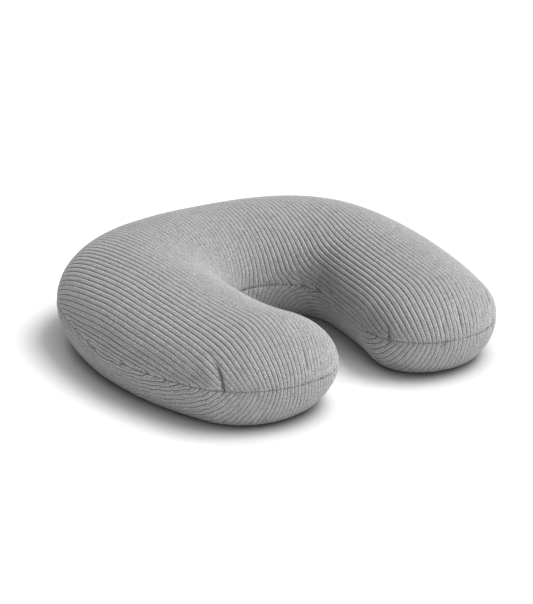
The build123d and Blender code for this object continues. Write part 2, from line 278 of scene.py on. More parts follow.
# -------- cloth simulation
SIMULATED_FRAMES = 20
INFLATION_INSET = 0.002
FLOOR_CONTACT = 0.0035
EXTRA_FABRIC_REACH = 0.045  # how far from the seam the cut has fabric to spare
STIFF_HALF_LENGTH = 0.125  # the zip keeps a strip of cloth this long still,
STIFF_HALF_WIDTH = 0.016  # and this wide
LOCAL_SIZE = 4  # grid steps: wider swellings are left out, so that the size stays
MOST_OUTWARD = 0.004
MOST_INWARD = 0.0025
CLOTH = dict(
    quality=5, mass=0.15, tension_stiffness=20, compression_stiffness=20,
    shear_stiffness=8, bending_stiffness=0.3, air_damping=2, use_pressure=True,
    uniform_pressure_force=40, vertex_group_mass="held",
    vertex_group_shrink="extra_fabric", shrink_min=0.005, shrink_max=-0.07,
)


def grid_normals(grid):
    """Outward unit normals of the closed grid."""
    along = np.gradient(grid, axis=0)
    around = np.roll(grid, -1, axis=1) - np.roll(grid, 1, axis=1)
    normals = unit(np.cross(around, along))
    normals[0] = normals[1].mean(0)
    normals[-1] = normals[-2].mean(0)
    return normals


def closed_faces(row_count):
    """Faces of the closed grid, whose first and last rows are one point each."""

    def node(row, place):
        if row in (0, row_count - 1):
            return 0 if row == 0 else (row_count - 2) * RING + 1
        return 1 + (row - 1) * RING + place % RING

    cells = [(row, place) for row in range(row_count - 1) for place in range(RING)]
    corners = ([node(row + i, place + j) for i, j in SQUARE] for row, place in cells)
    return [list(dict.fromkeys(face)) for face in corners]


def blurred(values, size):
    """Values averaged with their neighbours on the grid, size squared times."""
    for _ in range(size * size):
        rows = np.pad(values, ((1, 1), (0, 0)), mode="edge")
        values = (rows[:-2] + 2 * values + rows[2:]) / 4
        values = (np.roll(values, 1, 1) + 2 * values + np.roll(values, -1, 1)) / 4
    return values


def held_points(grid, distance):
    """The seam, and the stiffer strip beside the zip."""
    near_zip = (np.abs(grid[..., 0]) < STIFF_HALF_LENGTH) & (grid[..., 1] > BACK_FROM)
    return (distance < 0.001) | (near_zip & (distance < STIFF_HALF_WIDTH))


def simulate(grid):
    """The grid after air pressure has plumped its cloth, held at the seam."""
    row_count = len(grid)
    normals = grid_normals(grid)
    seams = [grid[:, ring, None] for ring in (0, INNER_SEAM)]
    distance = np.linalg.norm(grid - seams, axis=3).min(0)
    floor = grid[..., 2] < FLOOR_CONTACT
    inset = INFLATION_INSET * np.clip(distance / 0.03, 0, 1) * ~floor
    start = grid - normals * inset[..., None]
    between = start[1:-1].reshape(-1, 3)
    points = np.concatenate([start[:1, 0], between, start[-1:, 0]])
    piece = new_object("simulated_cloth", points, closed_faces(row_count))

    slack = np.clip(1 - distance / EXTRA_FABRIC_REACH, 0, 1)[1:-1].ravel()
    still = held_points(grid, distance) | floor
    pins = piece.vertex_groups.new(name="held")
    pins.add([0, len(points) - 1], 1.0, "REPLACE")
    pins.add((np.nonzero(still[1:-1].ravel())[0] + 1).tolist(), 1.0, "REPLACE")
    extra = piece.vertex_groups.new(name="extra_fabric")
    for index in np.nonzero(slack)[0]:
        extra.add([int(index) + 1], float(slack[index]), "REPLACE")

    cloth = piece.modifiers.new("Cloth", "CLOTH")
    cloth.settings.effector_weights.gravity = 0
    for setting, value in CLOTH.items():
        setattr(cloth.settings, setting, value)
    cloth.collision_settings.use_collision = False
    for step in range(1, SIMULATED_FRAMES + 1):
        bpy.context.scene.frame_set(step)
    evaluated = piece.evaluated_get(bpy.context.evaluated_depsgraph_get())
    moved = np.zeros(len(points) * 3)
    evaluated.to_mesh().vertices.foreach_get("co", moved)
    evaluated.to_mesh_clear()
    bpy.context.scene.frame_set(1)
    bpy.data.objects.remove(piece)

    outward = np.zeros(grid.shape[:2])
    settled = moved.reshape(-1, 3)[1:-1].reshape(row_count - 2, RING, 3)
    outward[1:-1] = ((settled - start[1:-1]) * normals[1:-1]).sum(-1)
    local = outward - blurred(outward, LOCAL_SIZE)
    local = np.clip(local, -MOST_INWARD, MOST_OUTWARD)
    local[still] = 0
    return grid + normals * local[..., None]


# -------- flat fabric
FLATTENING_ROUNDS = 60
HELD_FIRMLY = 1e5


def flatten(grid):
    """Where each grid point of the right half lies on the flat fabric.

    The top and bottom panels are cut to one outline and share the seam's points.
    As-rigid-as-possible flattening keeps lengths on the fabric near the real ones.
    """
    half = grid[MIDDLE::2, ::2]
    row_count, ring_count = half.shape[:2]
    tip = (row_count - 1) * ring_count
    numbers = np.arange(row_count * ring_count).reshape(row_count, ring_count)
    numbers[-1] = tip
    triangles, sides = [], []
    for row in range(row_count - 1):
        for place in range(ring_count):
            following = (place + 1) % ring_count
            side = 1.0 if place < ring_count // 2 else -1.0
            a, b = numbers[row, place], numbers[row, following]
            c, d = numbers[row + 1, following], numbers[row + 1, place]
            triangles.append((a, b, c))
            sides.append(side)
            if c != d:
                triangles.append((a, c, d))
                sides.append(side)
    triangles, sides = np.array(triangles), np.array(sides)
    points = half.reshape(-1, 3)[: tip + 1]

    corner = points[triangles]
    first, second = corner[:, 1] - corner[:, 0], corner[:, 2] - corner[:, 0]
    base = np.linalg.norm(first, axis=1)
    along = (first * second).sum(1) / base
    height = np.sqrt(np.maximum((second**2).sum(1) - along**2, 1e-12))
    local = np.zeros((len(triangles), 3, 2))
    local[:, 1, 0] = base
    local[:, 2] = np.stack([along, height * sides], 1)

    pairs = ((0, 1, 2), (1, 2, 0), (2, 0, 1))  # an edge and the corner that faces it
    count = tip + 1
    laplacian = np.zeros((count, count))
    cotangents = []
    for i, j, k in pairs:
        a, b = local[:, i] - local[:, k], local[:, j] - local[:, k]
        area = np.abs(flat_cross(a, b))
        cotangent = np.maximum((a * b).sum(1) / np.maximum(area, 1e-12), 0.02)
        cotangents.append(cotangent)
        m, n = triangles[:, i], triangles[:, j]
        for one, other, sign in ((m, m, 1), (n, n, 1), (m, n, -1), (n, m, -1)):
            np.add.at(laplacian, (one, other), sign * cotangent)
    middle_nodes = np.arange(ring_count)
    across_system, along_system = laplacian.copy(), laplacian.copy()
    across_system[middle_nodes, middle_nodes] += HELD_FIRMLY
    along_system[0, 0] += HELD_FIRMLY
    across_inverse = np.linalg.inv(across_system)
    along_inverse = np.linalg.inv(along_system)

    flat = points[:, :2].copy()
    for _ in range(FLATTENING_ROUNDS):
        covariance = np.zeros((len(triangles), 2, 2))
        for (i, j, _), cotangent in zip(pairs, cotangents):
            there = flat[triangles[:, i]] - flat[triangles[:, j]]
            here = local[:, i] - local[:, j]
            weighted = cotangent[:, None, None] * there[:, :, None]
            covariance += weighted * here[:, None, :]
        angle = np.arctan2(
            covariance[:, 1, 0] - covariance[:, 0, 1],
            covariance[:, 0, 0] + covariance[:, 1, 1],
        )
        cosine, sine = np.cos(angle), np.sin(angle)
        turn = np.stack([cosine, -sine, sine, cosine], 1).reshape(-1, 2, 2)
        wanted = np.zeros((count, 2))
        for (i, j, _), cotangent in zip(pairs, cotangents):
            edge = np.einsum("nij,nj->ni", turn, local[:, i] - local[:, j])
            edge *= cotangent[:, None]
            np.add.at(wanted, triangles[:, i], edge)
            np.add.at(wanted, triangles[:, j], -edge)
        wanted[0, 1] += HELD_FIRMLY * points[0, 1]
        flat_u, flat_v = across_inverse @ wanted[:, 0], along_inverse @ wanted[:, 1]
        flat = np.stack([flat_u, flat_v], 1)

    result = flat[numbers]
    return np.concatenate([result[:0:-1] * (-1, 1), result])


# -------- ribbed cover
EDGE_GAP = 0.0004  # half the gap between the panels' edges
LIP_DEPTH = 0.003
SLOT_LIP_DEPTH = 0.0014
BISECTIONS = 11
LEFT, RIGHT = -1, 1

# How the sewing pulls the ribs. u runs across the fabric from the middle of the back,
# and v along it, falling towards the arms' tips.
CLEAR_OF_MIDDLE = 0.1  # u at which the pull is whole
CLOSED_UP = 0.14  # share by which the ribs close up behind the hollow
CLOSED_UP_V = -0.035
CLOSED_UP_SIZE = (0.085, 0.03)
LEFT_LEAN = 0.085
LEFT_FAN = 1.9
LEFT_FAN_EDGE = 0.3
RIGHT_PULL = 0.0125
WOBBLE = 0.00015
CRUMPLE = 0.00045  # of the bottom panel's flanks


def smoothstep(x, low, high):
    """0 below low, 1 above high, with a smooth change between."""
    f = np.clip((x - low) / (high - low), 0, 1)
    return f * f * (3 - 2 * f)


def ramped(x, start, softness):
    """0 below start, then x - start, with a soft change between."""
    return (np.hypot(x - start, softness) + x - start) / 2


def pulled(u, v, arm):
    """How far the sewing has pulled each rib outward."""
    down = -v
    clear = smoothstep(u, 0.0, CLEAR_OF_MIDDLE)
    size_u, size_v = CLOSED_UP_SIZE
    behind_hollow = np.exp(-(((v - CLOSED_UP_V) / size_v) ** 2) - (u / size_u) ** 2)
    closed_up = -CLOSED_UP * u * behind_hollow
    if arm == LEFT:
        lean = LEFT_LEAN * ramped(down, 0.02, 0.025)
        fan = LEFT_FAN * np.clip(LEFT_FAN_EDGE - u, 0, None)
        return closed_up + clear * (lean + fan * ramped(down, 0.205, 0.03))
    return closed_up + clear * RIGHT_PULL * smoothstep(down, 0.02, 0.19)


def strayed(fabric, side, arm):
    """Flat places of fabric points, whose ribs aren't quite straight."""
    u, v = fabric.T
    wobble = WOBBLE * (np.sin(61 * v + 19 * u + 1.0) + 0.6 * np.sin(127 * v - 43 * u))
    if side < 0:
        on_flank = smoothstep(u, 0.2, 0.28)
        waves = np.sin(260 * v + 90 * u) + np.sin(171 * v - 140 * u + 2.0)
        wobble = wobble + CRUMPLE * on_flank * waves
    stray = wobble * np.clip(u / 0.05, 0, 1) + pulled(u, v, arm)
    return np.stack([u + stray, v], 1)


def panel_locator(flat, first_place):
    """Function that finds grid rows and ring places of points on one flat panel."""
    places = RING // 2
    row_steps = np.linspace(0, MIDDLE, 2 * MIDDLE + 1)
    ring_steps = first_place + np.linspace(0, places, 2 * places + 1)
    rows, rings = np.meshgrid(row_steps, ring_steps, indexing="ij")
    nodes = sample(flat, (MIDDLE + rows.ravel()) / 2, rings.ravel() / 2)
    numbers = np.arange(rows.size).reshape(rows.shape)
    a, b = numbers[:-1, :-1].ravel(), numbers[:-1, 1:].ravel()
    c, d = numbers[1:, 1:].ravel(), numbers[1:, :-1].ravel()
    inner = np.arange(len(a)) < len(a) - 2 * places
    triangles = np.concatenate(
        [np.stack([a, b, c], 1), np.stack([a[inner], c[inner], d[inner]], 1)]
    )
    values = np.stack([rows.ravel(), rings.ravel()], 1)[triangles]
    at_tip = values[:, 2, 0] > MIDDLE - 1e-9
    at_tip &= values[:, 1, 0] < MIDDLE - 1e-9
    values[at_tip, 2, 1] = values[at_tip, :2, 1].mean(1)
    corners = nodes[triangles]
    tree = BVHTree.FromPolygons(
        [(x, y, 0.0) for x, y in nodes], triangles.tolist(), all_triangles=True
    )

    def locate(points):
        hits = [tree.find_nearest((x, y, 0.0)) for x, y in points]
        spot = np.array([hit[0][:2] for hit in hits])
        index, away = (np.array([hit[k] for hit in hits]) for k in (2, 3))
        first, second, third = corners[index].transpose(1, 0, 2)
        p, q, r = second - first, third - first, spot - first
        area = flat_cross(p, q)
        area = np.where(np.abs(area) < 1e-14, 1e-14, area)
        beta = np.clip(flat_cross(r, q) / area, 0, 1)
        gamma = np.clip(flat_cross(p, r) / area, 0, 1)
        weights = np.stack([1 - beta - gamma, beta, gamma], 1)
        return (values[index] * weights[..., None]).sum(1), away < 2e-6

    return locate


def in_zip_slot(points):
    """Whether each point is in the gap that shows the zip."""
    beside = (np.abs(points[:, 0]) < SLOT_HALF_LENGTH) & (points[:, 1] > BACK_FROM)
    return beside & (np.abs(points[:, 2] - ZIP_LEVEL) < SLOT_HALF_HEIGHT)


def half_panel(grid, locate, extent, side, arm):
    """Rows and ring places, fabric places and faces of half a panel, as a right half.

    The mesh is a lattice along the ribs, cut exactly at the panel's edge. Faces are
    anticlockwise on the flat fabric.
    """
    (low_v, high_v), high_u = extent
    rib_count = int(high_u / RIB_PITCH) + 2
    columns = (np.arange(rib_count)[:, None] + RIB_SAMPLES).ravel() * RIB_PITCH
    steps = np.arange(low_v - FABRIC_STEP, high_v + FABRIC_STEP, FABRIC_STEP)
    lattice = np.stack(np.meshgrid(columns, steps, indexing="ij"), -1)

    def test(fabric):
        where, on_panel = locate(strayed(fabric, side, arm))
        points = sample(grid, MIDDLE + where[:, 0], where[:, 1])
        return where, on_panel & ~in_zip_slot(points)

    where, inside = test(lattice.reshape(-1, 2))
    shape = lattice.shape[:2]
    inside = inside.reshape(shape)
    numbers = np.full(shape, -1)
    numbers[inside] = np.arange(inside.sum())
    fabric = [lattice[inside]]
    wheres = [where[inside.ravel()]]
    count = inside.sum()

    crossings = []
    for here, there in ((np.s_[:-1], np.s_[1:]), (np.s_[:, :-1], np.s_[:, 1:])):
        cut = inside[here] != inside[there]
        first_inside = inside[here][cut][:, None]
        first, second = lattice[here][cut], lattice[there][cut]
        good = np.where(first_inside, first, second)
        bad = np.where(first_inside, second, first)
        for _ in range(BISECTIONS):
            middle = (good + bad) / 2
            kept = test(middle)[1][:, None]
            good, bad = np.where(kept, middle, good), np.where(kept, bad, middle)
        crossing = np.full(cut.shape, -1)
        crossing[cut] = count + np.arange(len(good))
        count += len(good)
        crossings.append(crossing)
        fabric.append(good)
        wheres.append(test(good)[0])

    across, along = crossings
    ones = inside.astype(int)
    corner_sum = ones[:-1, :-1] + ones[1:, :-1] + ones[1:, 1:] + ones[:-1, 1:]
    i, j = np.nonzero(corner_sum == 4)
    whole = [numbers[i, j], numbers[i + 1, j], numbers[i + 1, j + 1], numbers[i, j + 1]]
    faces = np.stack(whole, 1).tolist()
    for i, j in zip(*np.nonzero((corner_sum > 0) & (corner_sum < 4))):
        ring = (
            (numbers[i, j], across[i, j]),
            (numbers[i + 1, j], along[i + 1, j]),
            (numbers[i + 1, j + 1], across[i, j + 1]),
            (numbers[i, j + 1], along[i, j]),
        )
        face = [int(n) for pair in ring for n in pair if n >= 0]
        if len(face) > 2:
            faces.append(face)
    return np.concatenate(wheres), np.concatenate(fabric), faces


def whole_panel(grid, locate, extent, side):
    """Rows and ring places, fabric places and faces of a panel, both halves."""
    where, fabric, faces = half_panel(grid, locate, extent, side, RIGHT)
    left_where, left_fabric, left_faces = half_panel(grid, locate, extent, side, LEFT)
    shared = left_fabric[:, 0] < 1e-9  # the halves meet at the middle of the back
    number = np.zeros(len(left_fabric), int)
    number[shared] = np.nonzero(fabric[:, 0] < 1e-9)[0]
    number[~shared] = len(fabric) + np.arange((~shared).sum())
    rows = np.concatenate([MIDDLE + where[:, 0], MIDDLE - left_where[~shared, 0]])
    rings = np.concatenate([where[:, 1], left_where[~shared, 1]])
    fabric = np.concatenate([fabric, left_fabric[~shared] * (-1, 1)])
    faces = faces + [[int(number[n]) for n in reversed(face)] for face in left_faces]
    if side < 0:
        faces = [face[::-1] for face in faces]
    return rows, rings, fabric, faces


def face_corners(faces):
    """Triangles that fan out over faces of any size."""
    return np.array([(f[0], b, c) for f in faces for b, c in zip(f[1:], f[2:])])


def point_normals(points, triangles):
    """Unit normals of points, each from the triangles round it."""
    a, b, c = points[triangles].transpose(1, 0, 2)
    crosses = np.cross(b - a, c - a)
    normals = np.zeros_like(points)
    for k in range(3):
        np.add.at(normals, triangles[:, k], crosses)
    return unit(normals)


def seam_distance(grid, rows, points):
    """Distance from the nearer seam."""
    seams = [on_seam(grid, rows, ring) for ring in (0, INNER_SEAM)]
    return np.linalg.norm(points - seams, axis=2).min(0)


# Folds in the cover, in millimetres: half width, then places along the fold, each
# (x, y, z, depth). A negative depth is a swelling beside a fold.
MM = 0.001
CREASES = (
    # left arm's outer corner
    (2.1, (-217, -182, 97.5, 0), (-217, -197, 90, 1.4), (-217, -208, 82, 3.4),
     (-218, -214.5, 71.5, 4.2), (-218, -218.5, 60, 3.8), (-216, -218, 52.5, 1.2),
     (-214, -215, 45, 0)),
    # swelling behind it
    (7.5, (-221, -175, 96, 0), (-228, -196, 80, -2), (-226, -206, 66, -1.8),
     (-225, -206, 54, 0)),
    # left arm's side
    (2.6, (-254, -142, 74, 0), (-248, -163, 62, 0.9), (-243, -175, 57, 0)),
    # further back
    (2.4, (-270, -98, 70, 0), (-266, -115, 60, 1), (-262, -126, 50, 0)),
    # right arm's inner corner
    (2, (46, -189, 81, 0), (43.6, -200, 71, 2.8), (42.2, -202, 62, 3.8),
     (42, -201, 53.5, 3.4), (42, -199, 46, 1.6), (43, -196, 40, 0)),
    # swelling in front of it
    (6, (58, -196, 80, 0), (52, -212, 66, -1.6), (52, -214, 54, 0)),
    # right arm's inner side
    (2.2, (40, -146, 68, 0), (37, -166, 60, 2.8), (38, -184, 56, 0)),
    # lower
    (2.2, (34, -150, 50, 0), (34, -170, 43, 2.2), (38, -186, 40, 0)),
    # right arm's outer end
    (2.2, (205, -203, 102, 0), (194, -227, 87, 2.8), (188, -241, 68, 3.2),
     (187, -243, 56, 2.6), (185, -238, 40, 0)),
    # swelling beside it
    (6, (191, -217, 96, 0), (180, -236, 80, -1.4), (178, -246, 62, 0)),
    # right arm's end
    (2.8, (155, -224, 105, 0), (140, -244, 88, 1.8), (131, -256, 60, 2.2),
     (130, -250, 38, 0)),
    # right arm's front
    (2.8, (104, -236, 94, 0), (96, -248, 78, 1.8), (92, -254, 56, 2.4),
     (91, -246, 38, 0)),
    # back of the hollow, right
    (2.4, (60, 30, 84, 0), (64, 22, 64, 2.6), (68, 16, 50, 2.8)),
    # hollow's right side
    (2.6, (74, -30, 80, 0), (71, -40, 64, 2.4), (69, -48, 52, 1.4)),
)


def crease_depth(points):
    """How far the folds press each point inward."""
    total = np.zeros(len(points))
    for width, *places in CREASES:
        places = np.array(places) * MM
        depth = np.zeros(len(points))
        for start, end in zip(places[:-1], places[1:]):
            way = end[:3] - start[:3]
            part = np.clip((points - start[:3]) @ way / (way @ way), 0, 1)
            away = np.linalg.norm(points - start[:3] - part[:, None] * way, axis=1)
            beside = np.exp(-((away / (width * MM)) ** 2))
            here = (start[3] + (end[3] - start[3]) * part) * beside
            depth = np.where(np.abs(here) > np.abs(depth), here, depth)
        total += depth
    return total


GATHER_DEPTH = 0.0007
GATHER_REACH = 0.012
GATHER_WAVES = ((1.0, 2.9, 0.0), (0.8, 4.3, 1.0), (0.6, 1.1, 0.0))  # size, pace, lag
OUTER_SEAM_PACE = 1.6  # the outer seam is longer, so it has more puckers a row
FOLD_SHADE_DEPTH = 0.004  # a fold this deep gets the darkest painted shade
LEAST_AGREEMENT = 0.5  # cosine between a point's normal and its neighbours'


def gathers(rows, rings, from_seam):
    """Small puckers across the seam, at uneven steps along it."""
    near_inner = np.abs(rings % RING - INNER_SEAM) < INNER_SEAM / 2
    place = rows * np.where(near_inner, 1.0, OUTER_SEAM_PACE)
    waves = sum(size * np.sin(pace * place + lag) for size, pace, lag in GATHER_WAVES)
    return GATHER_DEPTH * np.clip(waves, 0, None) * np.exp(-from_seam / GATHER_REACH)


def beside_zip(points):
    """1 along the zip, 0 away from it, with a short change between."""
    near = 1 - smoothstep(np.abs(points[:, 0]), SLOT_HALF_LENGTH, BESIDE_SLOT)
    level = 1 - smoothstep(np.abs(points[:, 2] - ZIP_LEVEL), *BESIDE_LEVELS)
    return near * level * (points[:, 1] > BACK_FROM)


def directed_edges(faces):
    """Every face's edges, in its own direction."""
    return [pair for face in faces for pair in zip(face, face[1:] + face[:1])]


def boundary_edges(faces):
    """Directed edges that belong to one face only."""
    edges = dict.fromkeys(directed_edges(faces))
    return [(a, b) for a, b in edges if (b, a) not in edges]


def steadied(normals, faces):
    """Normals, with each one that disagrees with its neighbours' replaced by theirs."""
    starts, ends = np.array(directed_edges(faces)).T
    near = np.zeros_like(normals)
    for a, b in ((starts, ends), (ends, starts)):
        np.add.at(near, a, normals[b])
    near = unit(near)
    agreement = (normals * near).sum(1, keepdims=True)
    return np.where(agreement < LEAST_AGREEMENT, near, normals)


def cover_panel(name, grid, flat, side):
    """One knit panel of the cover: side 1 is the top panel, -1 the bottom one."""
    locate = panel_locator(flat, 0 if side > 0 else RING // 2)
    extent = ((flat[..., 1].min(), flat[..., 1].max()), flat[..., 0].max())
    rows, rings, fabric, faces = whole_panel(grid, locate, extent, side)
    points = sample(grid, rows, rings)
    normals = steadied(point_normals(points, face_corners(faces)), faces)
    from_seam = seam_distance(grid, rows, points)
    at_zip = beside_zip(points)
    in_slot_reach = np.abs(points[:, 0]) < SLOT_HALF_LENGTH + 0.001
    above_slot = np.abs(points[:, 2] - ZIP_LEVEL) - SLOT_HALF_HEIGHT
    to_edge = np.where((at_zip > 0) & in_slot_reach, above_slot, from_seam)

    phase = np.abs(fabric[:, 0]) / RIB_PITCH % 1
    rib = 1 - np.abs(2 * phase - 1) ** RIB_FULLNESS
    strength = RIB_AT_SEAM + (1 - RIB_AT_SEAM) * smoothstep(to_edge, *RIB_FADE)
    flattened = 1 - UNDERSIDE_RIBS * (points[:, 2] < UNDERSIDE_LEVEL)
    pinch = SEAM_PINCH * np.exp(-((from_seam / SEAM_REACH) ** 2)) * (1 - at_zip)
    puckers = gathers(rows, rings, from_seam) * (1 - at_zip)
    outward = -RIB_DEPTH * (1 - rib) * strength * flattened - pinch - puckers
    folds = crease_depth(points)
    points = points + normals * (outward - folds)[:, None]
    at_seam = (from_seam < 1e-5) & (at_zip < 1)
    points[:, 2] += side * EDGE_GAP * np.exp(-((from_seam / 0.002) ** 2)) * (1 - at_zip)
    points[:, 2] = np.maximum(points[:, 2], LOWEST_LEVEL)

    edges = boundary_edges(faces)
    rim = sorted({n for edge in edges for n in edge})
    lip_number = {n: len(points) + k for k, n in enumerate(rim)}
    depth = np.where(at_seam[rim], LIP_DEPTH, SLOT_LIP_DEPTH)
    lip = points[rim] - normals[rim] * depth[:, None]
    lip[:, 2] -= side * EDGE_GAP * 0.9 * at_seam[rim]
    points = np.concatenate([points, lip])
    fabric = np.concatenate([fabric, fabric[rim]])
    # The lips get a distance below zero, so the knit paints them in its darkest seam
    # shade.
    to_edge = np.concatenate([to_edge, np.full(len(rim), -0.001)])
    folds = np.concatenate([folds, folds[rim]])
    faces = faces + [[b, a, lip_number[a], lip_number[b]] for a, b in edges]

    piece = new_object(name, points, faces, smooth=True)
    # The attribute's third value, the distance to the edge, also sets the knit's
    # painted seam shade.
    weave = piece.data.attributes.new("fabric", "FLOAT_VECTOR", "POINT")
    values = np.concatenate([fabric, to_edge[:, None]], 1)
    weave.data.foreach_set("vector", values.astype(np.float32).ravel())
    # This attribute holds how much painted shade each crease gets in the knit.
    fold_shade_layer = piece.data.attributes.new("fold_shade", "FLOAT", "POINT")
    shades = np.clip(folds / FOLD_SHADE_DEPTH, 0, 1)
    fold_shade_layer.data.foreach_set("value", shades.astype(np.float32))
    return piece


# -------- thread and zip pieces
STITCH_PITCH = 0.0036
STITCH_HALF = (0.0006, 0.0013)  # along the seam, and up
THREAD_RADIUS = 0.0003
TOOTH_RADIUS = 0.00034
CLEAR_OF_LABEL = 0.017
CLEAR_OF_SLOT = 0.003
PATH_POINTS = 1400
BAR_SIDES = 6
BAR_RINGS = ((-1.0, 0.35), (-0.7, 1.0), (0.7, 1.0), (1.0, 0.35))  # place, thickness


def bars(name, starts, ends, radius):
    """One piece of many small round-ended bars: stitches or zip teeth."""
    starts, ends = np.vstack(starts), np.vstack(ends)
    way = unit(ends - starts)
    helper = np.where(np.abs(way[:, 2:]) > 0.9, (1.0, 0, 0), (0, 0, 1.0))
    side = unit(np.cross(way, helper))
    other = np.cross(way, side)
    middle, half = (starts + ends) / 2, (ends - starts) / 2
    points, angles = [], 2 * pi * np.arange(BAR_SIDES) / BAR_SIDES
    for place, thickness in BAR_RINGS:
        for angle in angles:
            spoke = side * cos(angle) + other * sin(angle)
            points.append(middle + half * place + spoke * radius * thickness)
    points = np.stack(points, 1)
    per_bar = len(BAR_RINGS) * BAR_SIDES
    pattern = [
        [(ring + i) * BAR_SIDES + (k + j) % BAR_SIDES for i, j in SQUARE]
        for ring in range(len(BAR_RINGS) - 1)
        for k in range(BAR_SIDES)
    ]
    pattern.append(list(range(BAR_SIDES))[::-1])
    pattern.append(list(range(per_bar - BAR_SIDES, per_bar)))
    firsts = range(0, len(starts) * per_bar, per_bar)
    faces = [[first + n for n in face] for first in firsts for face in pattern]
    return new_object(name, points.reshape(-1, 3), faces, smooth=True)


def seam_path(grid):
    """Points at equal steps round the whole seam, with outward directions."""
    rows = np.linspace(0, 2 * MIDDLE, PATH_POINTS)
    inner = on_seam(grid, rows[::-1], INNER_SEAM)
    loop = np.concatenate([on_seam(grid, rows, 0), inner[1:]])
    steps = np.linalg.norm(np.diff(loop, axis=0), axis=1)
    length = np.concatenate([[0], np.cumsum(steps)])
    places = np.arange(0, length[-1], STITCH_PITCH)
    path = np.stack([np.interp(places, length, loop[:, k]) for k in range(3)], 1)
    along = unit(np.roll(path, -1, 0) - np.roll(path, 1, 0))
    outward = np.stack([-along[:, 1], along[:, 0], np.zeros(len(path))], 1)
    return path, along, outward


def seam_stitches(grid):
    """Thread of the cover's seam, seen as short stitches in the groove."""
    path, along, outward = seam_path(grid)
    label_place = np.mean(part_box("care_label"), axis=0)
    clear = np.linalg.norm(path - label_place, axis=1) > CLEAR_OF_LABEL
    at_zip = np.abs(path[:, 0]) < SLOT_HALF_LENGTH + CLEAR_OF_SLOT
    at_zip &= path[:, 1] > BACK_FROM
    path, along, outward = (part[clear & ~at_zip] for part in (path, along, outward))
    centre = path - outward * (SEAM_PINCH + 0.0001)
    half = along * STITCH_HALF[0] + np.array([0, 0, STITCH_HALF[1]])
    return bars("seam_stitches", centre - half, centre + half, THREAD_RADIUS)


def on_zip(angle, radial, height):
    """Point beside the zip: degrees along it, distance outward, height above it."""
    reach = ZIP_RADIUS + radial
    turned = np.radians(90 + np.asarray(angle, float))
    x, y = reach * np.cos(turned), ZIP_AXIS_Y + reach * np.sin(turned)
    return np.stack([x, y, np.full_like(x, ZIP_LEVEL + height)], -1)


TOPSTITCH_HEIGHT = 0.0068
TOPSTITCH_ANGLE = 0.19  # degrees
TOPSTITCH_END = 6.5
TOPSTITCH_SINK = -0.0001
TACK_ANGLES = (6.5, 6.56)
TACK_STITCHES = 8
TEETH_ANGLE = 0.092
ZIP_END_ANGLE = 5.9
TOOTH_HEIGHTS = (0.00078, 0.00235)
TOOTH_RADIALS = (-0.00078, -0.00175)


def zip_topstitch():
    """Two lines of stitches that hold the cover to the zip tapes, and the end tacks."""
    angles = np.arange(-TOPSTITCH_END, TOPSTITCH_END, TOPSTITCH_ANGLE)
    first, last = TACK_ANGLES
    starts, ends = [], []
    for side in (-1, 1):
        height = side * TOPSTITCH_HEIGHT
        starts.append(on_zip(angles, TOPSTITCH_SINK, height))
        ends.append(on_zip(angles + 0.7 * TOPSTITCH_ANGLE, TOPSTITCH_SINK, height))
    for end in (-1, 1):
        heights = np.linspace(-TOPSTITCH_HEIGHT, TOPSTITCH_HEIGHT, TACK_STITCHES + 1)
        for low, high in zip(heights[:-1], heights[1:]):
            starts.append(on_zip([end * first], TOPSTITCH_SINK, low))
            ends.append(on_zip([end * last], TOPSTITCH_SINK, high))
    return bars("zip_topstitch", starts, ends, THREAD_RADIUS)


def coil_teeth(name, side):
    """Nylon teeth of the upper coil (side 1) or the lower coil (side -1)."""
    shift = 0.25 * side * TEETH_ANGLE
    angles = np.arange(-ZIP_END_ANGLE, ZIP_END_ANGLE, TEETH_ANGLE) + shift
    near, far = (side * height for height in TOOTH_HEIGHTS)
    front, back = TOOTH_RADIALS
    bend, turn = (front, near), (back, near)
    starts = [on_zip(angles, *place) for place in (bend, bend, turn)]
    ends = [on_zip(angles, *place) for place in ((front, far), turn, (back, far))]
    cord = np.linspace(-ZIP_END_ANGLE, ZIP_END_ANGLE, 90)
    middle = (front + back) / 2, (near + far) / 2
    starts.append(on_zip(cord[:-1], *middle))
    ends.append(on_zip(cord[1:], *middle))
    return bars(name, starts, ends, TOOTH_RADIUS)


